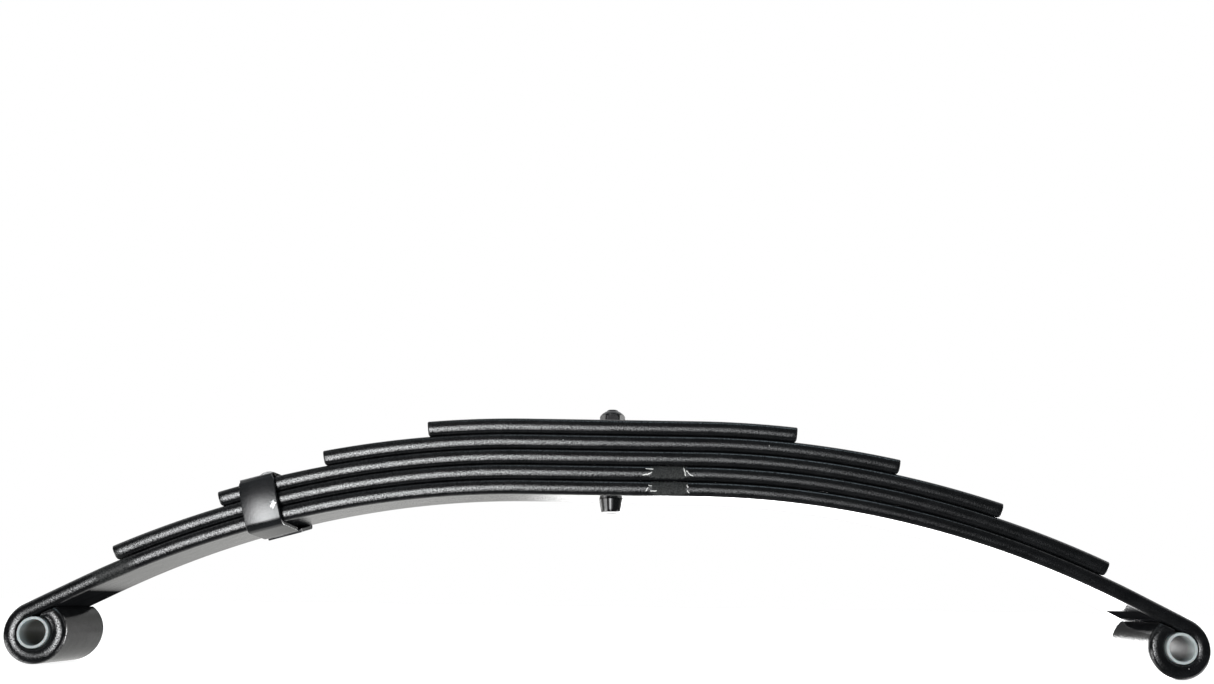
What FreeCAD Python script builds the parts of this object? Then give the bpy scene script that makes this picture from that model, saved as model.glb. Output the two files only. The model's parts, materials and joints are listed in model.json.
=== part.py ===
import FreeCAD, Part
import math
import os

# A double-eye leaf spring of five leaves, held by a centre bolt, with one riveted rebound clip.
# Millimetres. +X along the leaves, +Y across them, +Z up. The arch points up and the eyes hang down.
# The origin is on the centre bolt's axis, on the flat underside of the main leaf.

# Spring outline
EYE_TO_EYE = 641.35         # 25-1/4 in between the eye centres
LEAF_WIDTH = 44.45          # 1-3/4 in
LEAF_THICKNESS = 8.73       # 11/32 in
LEAF_GAP = 0.15             # paint film between two leaves
EDGE_RADIUS = 6.4           # the leaf bar's edges are rounded, not square
SEAT_HALF = 49.0            # half length of the straight seat in the middle
BEND_RADIUS = 545.0         # of the main leaf's underside
EYE_STRAIGHT = 32.0         # straight run of the main leaf before its eye

# Developed half lengths of the shorter leaves, from the centre bolt to the tip
SHORT_LEAVES = {
    "second_leaf": 288.7,
    "third_leaf": 226.8,
    "fourth_leaf": 166.7,
    "fifth_leaf": 107.0,
}

# Eyes and bushes
BUSH_OUTER_RADIUS = 8.73    # 11/16 in outside
BUSH_BORE_RADIUS = 7.2      # takes a 9/16 in bolt
BUSH_LENGTH = 45.4
BUSH_CLEARANCE = 0.03
EYE_RADIUS = BUSH_OUTER_RADIUS + BUSH_CLEARANCE
EYE_ROLL = 250.0            # degrees rolled before the bevelled end begins
EYE_END = 66.0              # further degrees to the end of the bar
EYE_END_GAP = 0.5           # between the bevelled end and the leaf above it

# Centre bolt and nut
BOLT_RADIUS = 7.94 / 2      # 5/16 in
BOLT_HOLE_RADIUS = 4.37
HEAD_RADIUS = 6.7
HEAD_TIP_RADIUS = 5.9
HEAD_CYLINDER = 3.6
HEAD_HEIGHT = 7.94
BOLT_END = 9.4              # how far the bolt's end stands above the shortest leaf
BOLT_POINT = 1.2            # length of its tapered point
BOLT_POINT_RADIUS = 3.0
NUT_FLATS = 12.7            # 1/2 in across flats
NUT_HEIGHT = 8.1
NUT_DOME_START = 3.2
NUT_TOP_RADIUS = 4.3
NUT_DOME_BULGE = 0.57       # how far the dome's arc stands out from its chord
NUT_CLEARANCE = 0.02

# Rebound clip, on the left half only
CLIP_X = -201.5             # where its rivet stands on the third leaf
CLIP_LEAVES = 3
CLIP_WIDTH = 20.0
CLIP_THICKNESS = 2.4        # 3/32 in strap
CLIP_SIDE_GAP = 1.2
CLIP_TOP_GAP = 0.1
CLIP_BOTTOM_GAP = 0.6
CLIP_INSIDE_BEND = 2.0
CLIP_LEAN = 5.0             # degrees that the strap leans from square
FRONT_EAR = 21.0            # length of each ear under the main leaf
BACK_EAR = 17.0
BACK_EAR_DROOP = 4.0        # degrees that the back ear hangs open

# Rivet of the clip
RIVET_RADIUS = 3.95
RIVET_HOLE_RADIUS = 4.1
RIVET_HEAD_RADIUS = 7.4
RIVET_HEAD_HEIGHT = 5.3
RIVET_HEAD_GAP = 0.02       # between the head and the strap
RIVET_TIP_GAP = 0.1         # between the shank's end and the leaf below

CUT_MARGIN = 1.0            # cutting shapes run this far past the faces that they cut
PITCH = LEAF_THICKNESS + LEAF_GAP
STACK = 4 * PITCH + LEAF_THICKNESS
Y_AXIS = FreeCAD.Vector(0, 1, 0)
Z_AXIS = FreeCAD.Vector(0, 0, 1)


def bar_section(place, up):
    """The leaf bar's cross-section with rounded edges, standing on place with its thickness along up."""
    side = LEAF_WIDTH / 2
    half = LEAF_THICKNESS / 2
    flat = side - EDGE_RADIUS + math.sqrt(EDGE_RADIUS**2 - half**2)

    def at(y, height):
        return place + Y_AXIS * y + up * height

    near_edge = Part.Arc(at(-flat, LEAF_THICKNESS), at(-side, half), at(-flat, 0))
    far_edge = Part.Arc(at(flat, 0), at(side, half), at(flat, LEAF_THICKNESS))
    underside = Part.LineSegment(at(-flat, 0), at(flat, 0))
    top = Part.LineSegment(at(flat, LEAF_THICKNESS), at(-flat, LEAF_THICKNESS))
    edges = [part.toShape() for part in (near_edge, underside, far_edge, top)]
    return Part.Face(Part.Wire(edges))


def joined(solids):
    """One clean solid from solids that share faces."""
    return solids[0].multiFuse(solids[1:]).removeSplitter().Solids[0]


def mirrored(solid):
    """The same solid on the other side of the centre bolt."""
    return solid.mirror(FreeCAD.Vector(0, 0, 0), FreeCAD.Vector(1, 0, 0))


def upright_cylinder(radius, bottom, top):
    return Part.makeCylinder(radius, top - bottom, FreeCAD.Vector(0, 0, bottom), Z_AXIS)


def eye_bend_angle():
    """Radians that the main leaf bends between its seat and its eye.

    The eye centre lies at BEND_RADIUS - EYE_RADIUS from the bend's centre, plus the straight run.
    """
    reach = EYE_TO_EYE / 2 - SEAT_HALF
    arm = BEND_RADIUS - EYE_RADIUS
    long_side = math.hypot(arm, EYE_STRAIGHT)
    return math.asin(reach / long_side) - math.atan2(EYE_STRAIGHT, arm)


def eye_centre():
    """Centre of the right eye."""
    angle = eye_bend_angle()
    height = -BEND_RADIUS + (BEND_RADIUS - EYE_RADIUS) * math.cos(angle) - EYE_STRAIGHT * math.sin(angle)
    return FreeCAD.Vector(EYE_TO_EYE / 2, 0, height)


def half_leaf(level, length):
    """Right half of a leaf: its straight seat, then a bend about the centre that all leaves share."""
    height = level * PITCH
    start = FreeCAD.Vector(0, 0, height)
    seat = bar_section(start, Z_AXIS).extrude(FreeCAD.Vector(SEAT_HALF, 0, 0))
    bend_centre = FreeCAD.Vector(SEAT_HALF, 0, -BEND_RADIUS)
    middle_radius = BEND_RADIUS + height + LEAF_THICKNESS / 2
    angle = math.degrees((length - SEAT_HALF) / middle_radius)
    root = bar_section(FreeCAD.Vector(SEAT_HALF, 0, height), Z_AXIS)
    return [seat, root.revolve(bend_centre, Y_AXIS, angle)]


def rolled_eye():
    """Straight run of the main leaf and the eye rolled at its end, on the right."""
    angle = eye_bend_angle()
    along = FreeCAD.Vector(math.cos(angle), 0, -math.sin(angle))
    up = FreeCAD.Vector(math.sin(angle), 0, math.cos(angle))
    bend_centre = FreeCAD.Vector(SEAT_HALF, 0, -BEND_RADIUS)
    start = bend_centre + up * BEND_RADIUS
    run = bar_section(start, up).extrude(along * EYE_STRAIGHT)
    centre = eye_centre()
    mouth = bar_section(start + along * EYE_STRAIGHT, up)
    roll = mouth.revolve(centre, Y_AXIS, EYE_ROLL)
    mouth.rotate(centre, Y_AXIS, EYE_ROLL)
    end = mouth.revolve(centre, Y_AXIS, EYE_END)
    return [run, roll, end.cut(space_above_eye(centre, along, up))]


def space_above_eye(centre, along, up):
    """What the bevel takes off the end of the roll, so that it stays clear of the leaf above."""
    size = 4 * EYE_RADIUS + 4 * LEAF_THICKNESS
    width = LEAF_WIDTH + 2 * CUT_MARGIN
    block = Part.makeBox(size, width, size)
    block.translate(FreeCAD.Vector(-size / 2, -width / 2, EYE_RADIUS - EYE_END_GAP))
    block.Placement = FreeCAD.Placement(centre, FreeCAD.Rotation(along, Y_AXIS, up)).multiply(block.Placement)
    return block


def bolt_hole(level):
    """What the centre bolt's hole takes out of one leaf."""
    bottom = level * PITCH
    return upright_cylinder(BOLT_HOLE_RADIUS, bottom - CUT_MARGIN, bottom + LEAF_THICKNESS + CUT_MARGIN)


def main_leaf():
    length = SEAT_HALF + eye_bend_angle() * (BEND_RADIUS + LEAF_THICKNESS / 2)
    right = half_leaf(0, length) + rolled_eye()
    leaf = joined(right + [mirrored(piece) for piece in right])
    return leaf.cut(bolt_hole(0))


def short_leaf(level, length):
    right = half_leaf(level, length)
    leaf = joined(right + [mirrored(piece) for piece in right])
    leaf = leaf.cut(bolt_hole(level))
    if level == CLIP_LEAVES - 1:
        leaf = leaf.cut(clip_cylinder(RIVET_HOLE_RADIUS, -LEAF_THICKNESS - CUT_MARGIN, CUT_MARGIN))
    return leaf


def eye_bush(side):
    """Nylon tube in an eye. side is -1 for the left eye and 1 for the right."""
    centre = eye_centre()
    start = FreeCAD.Vector(side * centre.x, -BUSH_LENGTH / 2, centre.z)
    outside = Part.makeCylinder(BUSH_OUTER_RADIUS, BUSH_LENGTH, start, Y_AXIS)
    return outside.cut(Part.makeCylinder(BUSH_BORE_RADIUS, BUSH_LENGTH, start, Y_AXIS))


def turned(points):
    """Solid of revolution about the centre bolt's axis, from (radius, height) points."""
    outline = Part.makePolygon([FreeCAD.Vector(r, 0, z) for r, z in points + points[:1]])
    return Part.Face(outline).revolve(FreeCAD.Vector(0, 0, 0), Z_AXIS, 360)


def centre_bolt():
    end = STACK + BOLT_END
    return turned([
        (0, -HEAD_HEIGHT),
        (HEAD_TIP_RADIUS, -HEAD_HEIGHT),
        (HEAD_RADIUS, -HEAD_CYLINDER),
        (HEAD_RADIUS, 0),
        (BOLT_RADIUS, 0),
        (BOLT_RADIUS, end - BOLT_POINT),
        (BOLT_POINT_RADIUS, end),
        (0, end),
    ])


def centre_nut():
    """Hexagon nut whose upper half is domed, like an all-metal lock nut."""
    corner = NUT_FLATS / 2 / math.cos(math.radians(30))

    def at(radius, height, turn=0):
        return FreeCAD.Vector(radius * math.cos(turn), radius * math.sin(turn), STACK + height)

    corners = [at(corner, 0, math.radians(60 * i)) for i in range(7)]
    prism = Part.Face(Part.makePolygon(corners)).extrude(Z_AXIS * NUT_HEIGHT)
    low = at(corner, NUT_DOME_START)
    high = at(NUT_TOP_RADIUS, NUT_HEIGHT)
    outward = Y_AXIS.cross(high - low).normalize()
    dome_edge = Part.Arc(low, (low + high) * 0.5 + outward * NUT_DOME_BULGE, high)
    outline = Part.Wire([
        Part.LineSegment(at(0, 0), at(corner, 0)).toShape(),
        Part.LineSegment(at(corner, 0), at(corner, NUT_DOME_START)).toShape(),
        dome_edge.toShape(),
        Part.LineSegment(at(NUT_TOP_RADIUS, NUT_HEIGHT), at(0, NUT_HEIGHT)).toShape(),
        Part.LineSegment(at(0, NUT_HEIGHT), at(0, 0)).toShape(),
    ])
    dome = Part.Face(outline).revolve(FreeCAD.Vector(0, 0, 0), Z_AXIS, 360)
    hole = upright_cylinder(BOLT_RADIUS + NUT_CLEARANCE, STACK - CUT_MARGIN, STACK + NUT_HEIGHT + CUT_MARGIN)
    return prism.common(dome).cut(hole)


def clip_frame():
    """Where the rivet stands on the third leaf, and the directions along the leaf and out of it there."""
    radius = BEND_RADIUS + CLIP_LEAVES * PITCH - LEAF_GAP
    angle = math.asin((-CLIP_X - SEAT_HALF) / radius)
    along = FreeCAD.Vector(math.cos(angle), 0, math.sin(angle))
    up = FreeCAD.Vector(-math.sin(angle), 0, math.cos(angle))
    foot = FreeCAD.Vector(-SEAT_HALF, 0, -BEND_RADIUS) + up * radius
    return foot, along, up


def clip_cylinder(radius, bottom, top):
    """A cylinder on the rivet's axis, between two heights over the third leaf's top."""
    foot, _, up = clip_frame()
    return Part.makeCylinder(radius, top - bottom, foot + up * bottom, up)


def strap_path(y_leg, y_end, top, bottom, droop):
    """Half of the strap's middle line, as (y, height) points: top, leg, and the ear under the leaf."""
    side = 1 if y_leg > 0 else -1
    ear = abs(y_leg) - abs(y_end)
    drop = ear * math.sin(math.radians(droop))
    return [(0, top), (y_leg, top), (y_leg, bottom), (y_leg - side * ear, bottom - drop)]


def rebound_clip():
    """A U strap over the third leaf, with its ears bent in under the main leaf."""
    foot, along, up = clip_frame()
    lean = math.radians(CLIP_LEAN)
    rise = up * math.cos(lean) + along * math.sin(lean)
    half = CLIP_THICKNESS / 2
    top = CLIP_TOP_GAP + half
    bottom = -(CLIP_LEAVES * PITCH - LEAF_GAP) - CLIP_BOTTOM_GAP - half
    leg = LEAF_WIDTH / 2 + CLIP_SIDE_GAP + half
    back = strap_path(leg, leg - BACK_EAR, top, bottom, BACK_EAR_DROOP)
    front = strap_path(-leg, -leg + FRONT_EAR, top, bottom, 0)
    line = front[:0:-1] + back[1:]
    points = [foot + Y_AXIS * y + rise * z for y, z in line]
    band = strap_face(points, rise)
    band.translate(along * (-CLIP_WIDTH / 2))
    strap = band.extrude(along * CLIP_WIDTH)
    return strap.cut(clip_cylinder(RIVET_HOLE_RADIUS, -CUT_MARGIN, 2 * CLIP_THICKNESS))


def strap_face(points, rise):
    """A band of the strap's thickness along a line of points, with round bends on both sides."""
    half = CLIP_THICKNESS / 2
    normal = rise.cross(Y_AXIS)
    outer = offset_line(points, normal, half)
    inner = offset_line(points, normal, -half)
    outside = rounded(outer, CLIP_INSIDE_BEND + CLIP_THICKNESS)
    inside = rounded(inner, CLIP_INSIDE_BEND)
    caps = [Part.makeLine(outer[0], inner[0]), Part.makeLine(outer[-1], inner[-1])]
    return Part.Face(Part.Wire(Part.__sortEdges__(outside + inside + caps)))


def offset_line(points, normal, distance):
    """The line of points moved sideways by distance, mitred at its corners."""
    moved = []
    for i, point in enumerate(points):
        before = points[i] - points[i - 1] if i else points[1] - points[0]
        after = points[i + 1] - points[i] if i + 1 < len(points) else before
        first = before.normalize().cross(normal)
        second = after.normalize().cross(normal)
        middle = (first + second).normalize()
        moved.append(point + middle * (distance / middle.dot(first)))
    return moved


def rounded(points, radius):
    """Straight runs through the points, with an arc of the radius at each corner."""
    edges = []
    start = points[0]
    for corner, after in zip(points[1:], points[2:]):
        come = (corner - start).normalize()
        go = (after - corner).normalize()
        half_turn = come.getAngle(go) / 2
        cut = radius * math.tan(half_turn)
        first = corner - come * cut
        last = corner + go * cut
        inward = (go - come).normalize()
        centre = corner + inward * (radius / math.cos(half_turn))
        edges.append(Part.makeLine(start, first))
        edges.append(Part.Arc(first, centre - inward * radius, last).toShape())
        start = last
    edges.append(Part.makeLine(start, points[-1]))
    return edges


def clip_rivet():
    """Domed head over the strap, and a shank through the strap and the third leaf."""
    foot, _, up = clip_frame()
    seat = CLIP_TOP_GAP + CLIP_THICKNESS + RIVET_HEAD_GAP
    top = seat + RIVET_HEAD_HEIGHT
    shank = clip_cylinder(RIVET_RADIUS, RIVET_TIP_GAP - LEAF_THICKNESS, (seat + top) / 2)
    ball_radius = (RIVET_HEAD_RADIUS**2 + RIVET_HEAD_HEIGHT**2) / (2 * RIVET_HEAD_HEIGHT)
    ball = Part.makeSphere(ball_radius, foot + up * (top - ball_radius))
    head = ball.common(clip_cylinder(RIVET_HEAD_RADIUS + CUT_MARGIN, seat, top + CUT_MARGIN))
    return shank.fuse(head).removeSplitter()


def main():
    parts = {"main_leaf": main_leaf()}
    for level, (name, length) in enumerate(SHORT_LEAVES.items(), start=1):
        parts[name] = short_leaf(level, length)
    parts["left_eye_bush"] = eye_bush(-1)
    parts["right_eye_bush"] = eye_bush(1)
    parts["centre_bolt"] = centre_bolt()
    parts["centre_nut"] = centre_nut()
    parts["rebound_clip"] = rebound_clip()
    parts["clip_rivet"] = clip_rivet()
    os.makedirs("parts", exist_ok=True)
    for name, shape in parts.items():
        solid = shape.Solids[0]
        assert len(shape.Solids) == 1 and solid.isValid(), name
        solid.exportStep(f"parts/{name}.step")
        print(f"{name}: {solid.Volume / 1000:.2f} cm3")
    centre = eye_centre()
    print(f"eye centre {centre.x:.3f} {centre.z:.3f}, stack {STACK:.2f}")


main()
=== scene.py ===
import json
import math

import bmesh
import bpy
from mathutils import Matrix, Vector


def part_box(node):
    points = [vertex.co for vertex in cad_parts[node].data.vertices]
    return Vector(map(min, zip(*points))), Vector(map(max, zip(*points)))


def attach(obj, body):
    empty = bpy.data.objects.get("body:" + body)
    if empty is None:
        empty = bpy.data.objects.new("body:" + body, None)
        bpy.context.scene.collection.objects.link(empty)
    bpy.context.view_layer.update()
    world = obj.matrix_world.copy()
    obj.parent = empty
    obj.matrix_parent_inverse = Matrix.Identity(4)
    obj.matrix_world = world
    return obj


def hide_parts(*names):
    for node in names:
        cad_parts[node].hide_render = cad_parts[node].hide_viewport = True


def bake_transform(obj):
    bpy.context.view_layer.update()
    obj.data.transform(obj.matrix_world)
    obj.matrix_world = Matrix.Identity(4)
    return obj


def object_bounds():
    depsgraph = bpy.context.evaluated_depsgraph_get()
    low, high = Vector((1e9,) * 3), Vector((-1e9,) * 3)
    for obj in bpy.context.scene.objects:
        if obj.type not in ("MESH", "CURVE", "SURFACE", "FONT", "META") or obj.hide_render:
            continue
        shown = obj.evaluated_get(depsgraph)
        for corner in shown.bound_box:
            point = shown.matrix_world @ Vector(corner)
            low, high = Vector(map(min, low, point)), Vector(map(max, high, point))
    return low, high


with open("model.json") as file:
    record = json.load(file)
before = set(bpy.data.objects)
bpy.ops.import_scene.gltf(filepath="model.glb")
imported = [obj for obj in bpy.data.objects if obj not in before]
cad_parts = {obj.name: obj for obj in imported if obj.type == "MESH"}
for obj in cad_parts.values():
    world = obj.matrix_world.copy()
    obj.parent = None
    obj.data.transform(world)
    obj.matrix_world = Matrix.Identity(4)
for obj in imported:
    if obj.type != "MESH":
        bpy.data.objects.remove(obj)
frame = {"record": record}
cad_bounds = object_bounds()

# Looks of a double-eye leaf spring: five painted leaves, nylon eye bushes, a centre bolt with a domed
# lock nut, and a riveted rebound clip. Metres, in the CAD model's frame: +X along the leaves, +Y across
# them and away from the camera, +Z up. Each leaf is two halves that meet in the middle of the clamped
# seat.

MM = 0.001
Y_AXIS = Vector((0, 1, 0))
Z_AXIS = Vector((0, 0, 1))

# Sizes read from the frame
LEAF_NAMES = ("main_leaf", "second_leaf", "third_leaf", "fourth_leaf", "fifth_leaf")
MOUNTS = {mount["name"]: mount for mount in frame["record"]["mounts"]}
STACK_TOP = MOUNTS["clamp_plate_face"]["pos_m"][2]
EYE_CENTRE = Vector(MOUNTS["right_eye_bore"]["pos_m"])
BORE_RADIUS = MOUNTS["right_eye_bore"]["dims"]["r_mm"] * MM
BUSH_LENGTH = MOUNTS["right_eye_bore"]["dims"]["length_mm"] * MM
LEAF_WIDTH = (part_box("second_leaf")[1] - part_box("second_leaf")[0]).y
BUSH_RADIUS = (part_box("right_eye_bush")[1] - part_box("right_eye_bush")[0]).x / 2
HEAD_RADIUS = MOUNTS["centre_bolt_head"]["dims"]["r_mm"] * MM
BOLT_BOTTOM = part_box("centre_bolt")[0].z
BOLT_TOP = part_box("centre_bolt")[1].z
NUT_TALLER = 0.3 * MM           # than the CAD's plain nut
NUT_WIDER = 0.45 * MM           # from the axis to a corner
NUT_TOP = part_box("centre_nut")[1].z + NUT_TALLER
NUT_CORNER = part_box("centre_nut")[1].x + NUT_WIDER

# Leaf bars
LEAF_GAP = 0.15 * MM
LEAF_THICKNESS = (STACK_TOP - (len(LEAF_NAMES) - 1) * LEAF_GAP) / len(LEAF_NAMES)
PITCH = LEAF_THICKNESS + LEAF_GAP
SEAT_HALF = 49 * MM             # half length of the straight seat
BEND_RADIUS = 545 * MM          # of the main leaf's underside
EYE_STRAIGHT = 32 * MM          # straight run before an eye
EYE_RADIUS = BUSH_RADIUS + 0.03 * MM
EYE_ROLL = math.radians(316)    # from the eye's mouth round to the end of the bar
EYE_ROLL_STEPS = 84
EYE_END_GAP = 0.5 * MM          # between the bevelled end and the leaf above it
EDGE_CROWN = 9.5 * MM           # radius of the middle of the bar's rounded sides
EDGE_CORNER = 2.6 * MM          # radius where a side turns into a flat face
EDGE_LINES = (2 * MM, 0.6 * MM)     # how far in from the corner the flats have lines of points
TIP_ROUNDING = (0.6 * MM, 1.3 * MM)     # of a sheared end's upper and lower edges
EYE_END_ROUNDING = (0.35 * MM, 0.35 * MM)
STATION_STEP = 3.5 * MM         # between sections along a leaf
BOLT_HOLE_RADIUS = 4.37 * MM
SECOND_LEAF_OFFSET = 1.0 * MM   # the second leaf reaches further right than left

# Ends of the bushes
BUSH_CHAMFER = 0.2 * MM         # outside
BUSH_MOUTH = 0.25 * MM          # how wide the bore opens at each end

# Rebound clip
CLIP_X = -202.9 * MM
CLIP_LEVEL = 3                  # leaves inside the strap
CLIP_WIDTH = 20.2 * MM
CLIP_THICKNESS = 2.4 * MM
CLIP_CORNER = 0.5 * MM          # rounding of the strap's long edges
CLIP_TOP_GAP = 0.3 * MM
CLIP_INSIDE_BEND = 2.0 * MM
CLIP_LOWER_BEND = 3.2 * MM      # inside radius of the bends into the ears
CLIP_NECK = 0.9 * MM            # how far each long edge draws in round an upper bend
CLIP_BOTTOM_GAP = 0.6 * MM
CLIP_SPLAY = math.radians(11)   # how far each leg leans out below the upper bend
CLIP_BOW = math.radians(15)     # how much each leg curves between its two bends
CLIP_TOP_HALF = 19.9 * MM       # half of the flat top, between the bends
FRONT_LEAN = math.radians(0.7)  # how far the front leg leans along the leaf
BACK_LEAN = math.radians(-6)
STRAP_END_INSETS = (0.12 * MM, 0.4 * MM)    # two steps that round the strap's ends
FRONT_EAR = 19 * MM             # length of the ear under the main leaf
BACK_EAR = 18 * MM
FRONT_EAR_SAG = math.radians(7) # the ears slope away from the leaf, which leaves a hollow over them
BACK_EAR_SAG = math.radians(9)

# Rivet of the clip
RIVET_HOLE_RADIUS = 4.5 * MM
RIVET_RADIUS = 3.7 * MM
RIVET_HEAD_RADIUS = 7.4 * MM
RIVET_HEAD_HEIGHT = 5.3 * MM
RIVET_HEAD_GAP = 0.02 * MM      # between the head and the strap
RIVET_LIP = 0.15 * MM           # how far the upset lip stands out past the dome
RIVET_TIP_GAP = 0.1 * MM        # between the shank's end and the leaf below
RIVET_TIP_CHAMFER = 0.2 * MM

# Bolt and nut
BOLT_RADIUS = 3.97 * MM
HEAD_TIP_RADIUS = 6.0 * MM      # the head tapers down to this from its collar
HEAD_TIP_ROUNDING = 0.8 * MM
HEAD_COLLAR = 0.55 * MM         # how far the collar stands out past the head's nominal radius
HEAD_BREAK = 0.25 * MM          # bevel between the collar and the face under the seat
THREAD_PITCH = 1.06 * MM
THREAD_DEPTH = 0.5 * MM
THREAD_FLANK = 1.3              # steepness of the flanks, over 1 so that the groove has a floor
THREAD_LENGTH = 7.5 * MM
THREAD_STEPS = 90               # rings of points along the thread
BOLT_POINT = 1.2 * MM           # length of the tapered point
BOLT_POINT_TAPER = 0.75         # how much its radius shrinks for its length
NUT_DOME_START = 4.2 * MM
NUT_TOP_RADIUS = 4.3 * MM
NUT_DOME_BULGE = 0.75 * MM
NUT_WASHER = 0.35 * MM          # height of the round face under the hexagon
NUT_WASHER_RADIUS = 6.05 * MM

# Camera
CAMERA_PLACE = Vector((-7.51, -565.54, -60.31)) * MM
CAMERA_TURN = math.radians(-0.45)
CAMERA_PITCH = math.radians(9.026)
CAMERA_ROLL = math.radians(-0.826)
CAMERA_LENS = 28.343
CAMERA_SENSOR = 36.0
CAMERA_SHIFT_Y = 0.089

# Floor
FLOOR_REACH = 6.0               # metres out to each side
FLOOR_GAP = 0.2 * MM            # between it and the eyes

# Soft panel behind the right half
PANEL_PLACE = Vector((0.27, 0.32, -0.20))
PANEL_SIZE = (0.45, 0.40)
PANEL_GLOW = 12.0               # radiance

# Wear on the side that faces the camera, and painted shade under the eyes: middles and half sizes of patches,
# in metres
CLIP_CHIP = (-0.1914, -0.025, -0.0086)
CHIP_SIZE = (0.0013, 0.006, 0.0019)
SCUFF_SIZE = (0.0102, 0.004, 0.0038)
SCUFFS = ((0.0322, -0.0222, 0.0140), (0.0325, -0.0222, 0.0046))
DULL_PATCH = (-0.2795, -0.0222, -0.0467)
DULL_SIZE = (0.0105, 0.004, 0.008)
CREVICE = (0.305, -0.0635)      # x and z of the gap where the rolled eye comes back to the leaf, where shade is painted
SWITCH = 0.1                    # how far from the middle a look has wholly turned from left to right
SCRATCH_HALF_WIDTH = 0.22 * MM
SCRATCHES = (                   # each one's ends, as x, z, x, z in millimetres
    (19.2, 15.7, 23.2, 15.5), (17.4, 11.8, 20.6, 12.4), (20.6, 12.4, 22.6, 13.6),
    (41.0, 16.2, 42.0, 11.8), (42.6, 14.8, 44.4, 12.6), (44.4, 12.6, 46.2, 11.8),
    (20.9, 5.9, 22.6, 5.7), (19.6, 2.9, 20.6, 4.6), (22.0, 2.7, 25.2, 2.9),
    (42.8, 6.2, 43.4, 5.2), (43.0, 3.0, 44.0, 2.2),
)

CUT_MARGIN = 1 * MM             # cutting rods run this far past the faces that they cut
WELD = 0.001 * MM               # points closer than this are one, after a cut
SMOOTH_ANGLE = math.radians(32)
PLACE = "place"                 # mesh attribute with each point's place at rest


# ---------------------------------------------------------------- mesh helpers

def add_object(name, bm, smooth=True):
    """A mesh object from bm, with its normals outward and each point's rest place stored."""
    bmesh.ops.recalc_face_normals(bm, faces=bm.faces)
    mesh = bpy.data.meshes.new(name)
    bm.to_mesh(mesh)
    bm.free()
    obj = bpy.data.objects.new(name, mesh)
    bpy.context.scene.collection.objects.link(obj)
    if smooth:
        shade(mesh)
    return obj


def shade(mesh):
    """Smooth shading, with sharp edges where the surface turns by more than SMOOTH_ANGLE."""
    mesh.polygons.foreach_set("use_smooth", [True] * len(mesh.polygons))
    mesh.set_sharp_from_angle(angle=SMOOTH_ANGLE)
    attribute = mesh.attributes.get(PLACE) or mesh.attributes.new(PLACE, "FLOAT_VECTOR", "POINT")
    for vertex, item in zip(mesh.vertices, attribute.data):
        item.vector = vertex.co


def bridge(bm, first, second):
    """Faces between two closed rings with the same number of points."""
    count = len(first)
    for i in range(count):
        j = (i + 1) % count
        bm.faces.new((first[i], first[j], second[j], second[i]))


def sweep(rings, closed=False):
    """A mesh through rings of points, with a face over each end unless it closes on itself."""
    bm = bmesh.new()
    loops = [[bm.verts.new(point) for point in ring] for ring in rings]
    for first, second in zip(loops, loops[1:]):
        bridge(bm, first, second)
    if closed:
        bridge(bm, loops[-1], loops[0])
    else:
        bm.faces.new(loops[0])
        bm.faces.new(reversed(loops[-1]))
    return bm


def lathe(outline, place, axis, segments=96):
    """A solid turned about an axis, from (radius, height) points whose first and last lie on the axis."""
    side = Y_AXIS if abs(axis.dot(Y_AXIS)) < 0.5 else Vector((1, 0, 0))
    side = (side - axis * side.dot(axis)).normalized()
    other = axis.cross(side)
    rings = []
    for radius, height in outline[1:-1]:
        turns = [2 * math.pi * i / segments for i in range(segments)]
        rings.append([
            place + axis * height + side * (radius * math.cos(t)) + other * (radius * math.sin(t))
            for t in turns
        ])
    bm = bmesh.new()
    loops = [[bm.verts.new(point) for point in ring] for ring in rings]
    for first, second in zip(loops, loops[1:]):
        bridge(bm, first, second)
    for loop, height in ((loops[0], outline[0][1]), (loops[-1], outline[-1][1])):
        tip = bm.verts.new(place + axis * height)
        for i, point in enumerate(loop):
            bm.faces.new((point, loop[(i + 1) % segments], tip))
    return bm


def arc(centre, radius, start, end, steps):
    """Points (a, b) on an arc, from angle start to angle end."""
    angles = [start + (end - start) * i / steps for i in range(steps + 1)]
    return [(centre[0] + radius * math.cos(t), centre[1] + radius * math.sin(t)) for t in angles]


def subtract(obj, bm):
    """Cuts the closed mesh bm out of obj, for good."""
    cutter = add_object("cutter", bm, smooth=False)
    modifier = obj.modifiers.new("cut", "BOOLEAN")
    modifier.operation = "DIFFERENCE"
    modifier.solver = "EXACT"
    modifier.object = cutter
    graph = bpy.context.evaluated_depsgraph_get()
    cut = bpy.data.meshes.new_from_object(obj.evaluated_get(graph))
    obj.modifiers.clear()
    old = obj.data
    bm = bmesh.new()
    bm.from_mesh(cut)
    bmesh.ops.remove_doubles(bm, verts=bm.verts, dist=WELD)
    bmesh.ops.dissolve_degenerate(bm, edges=bm.edges, dist=WELD)
    bm.to_mesh(cut)
    bm.free()
    obj.data = cut
    cut.name = obj.name
    bpy.data.meshes.remove(old)
    bpy.data.objects.remove(cutter)
    shade(cut)


def rod(place, axis, radius, low, high):
    """A plain closed cylinder, for cutting holes."""
    return lathe([(0, low), (radius, low), (radius, high), (0, high)], place, axis, 64)


# ---------------------------------------------------------------- leaves

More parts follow.
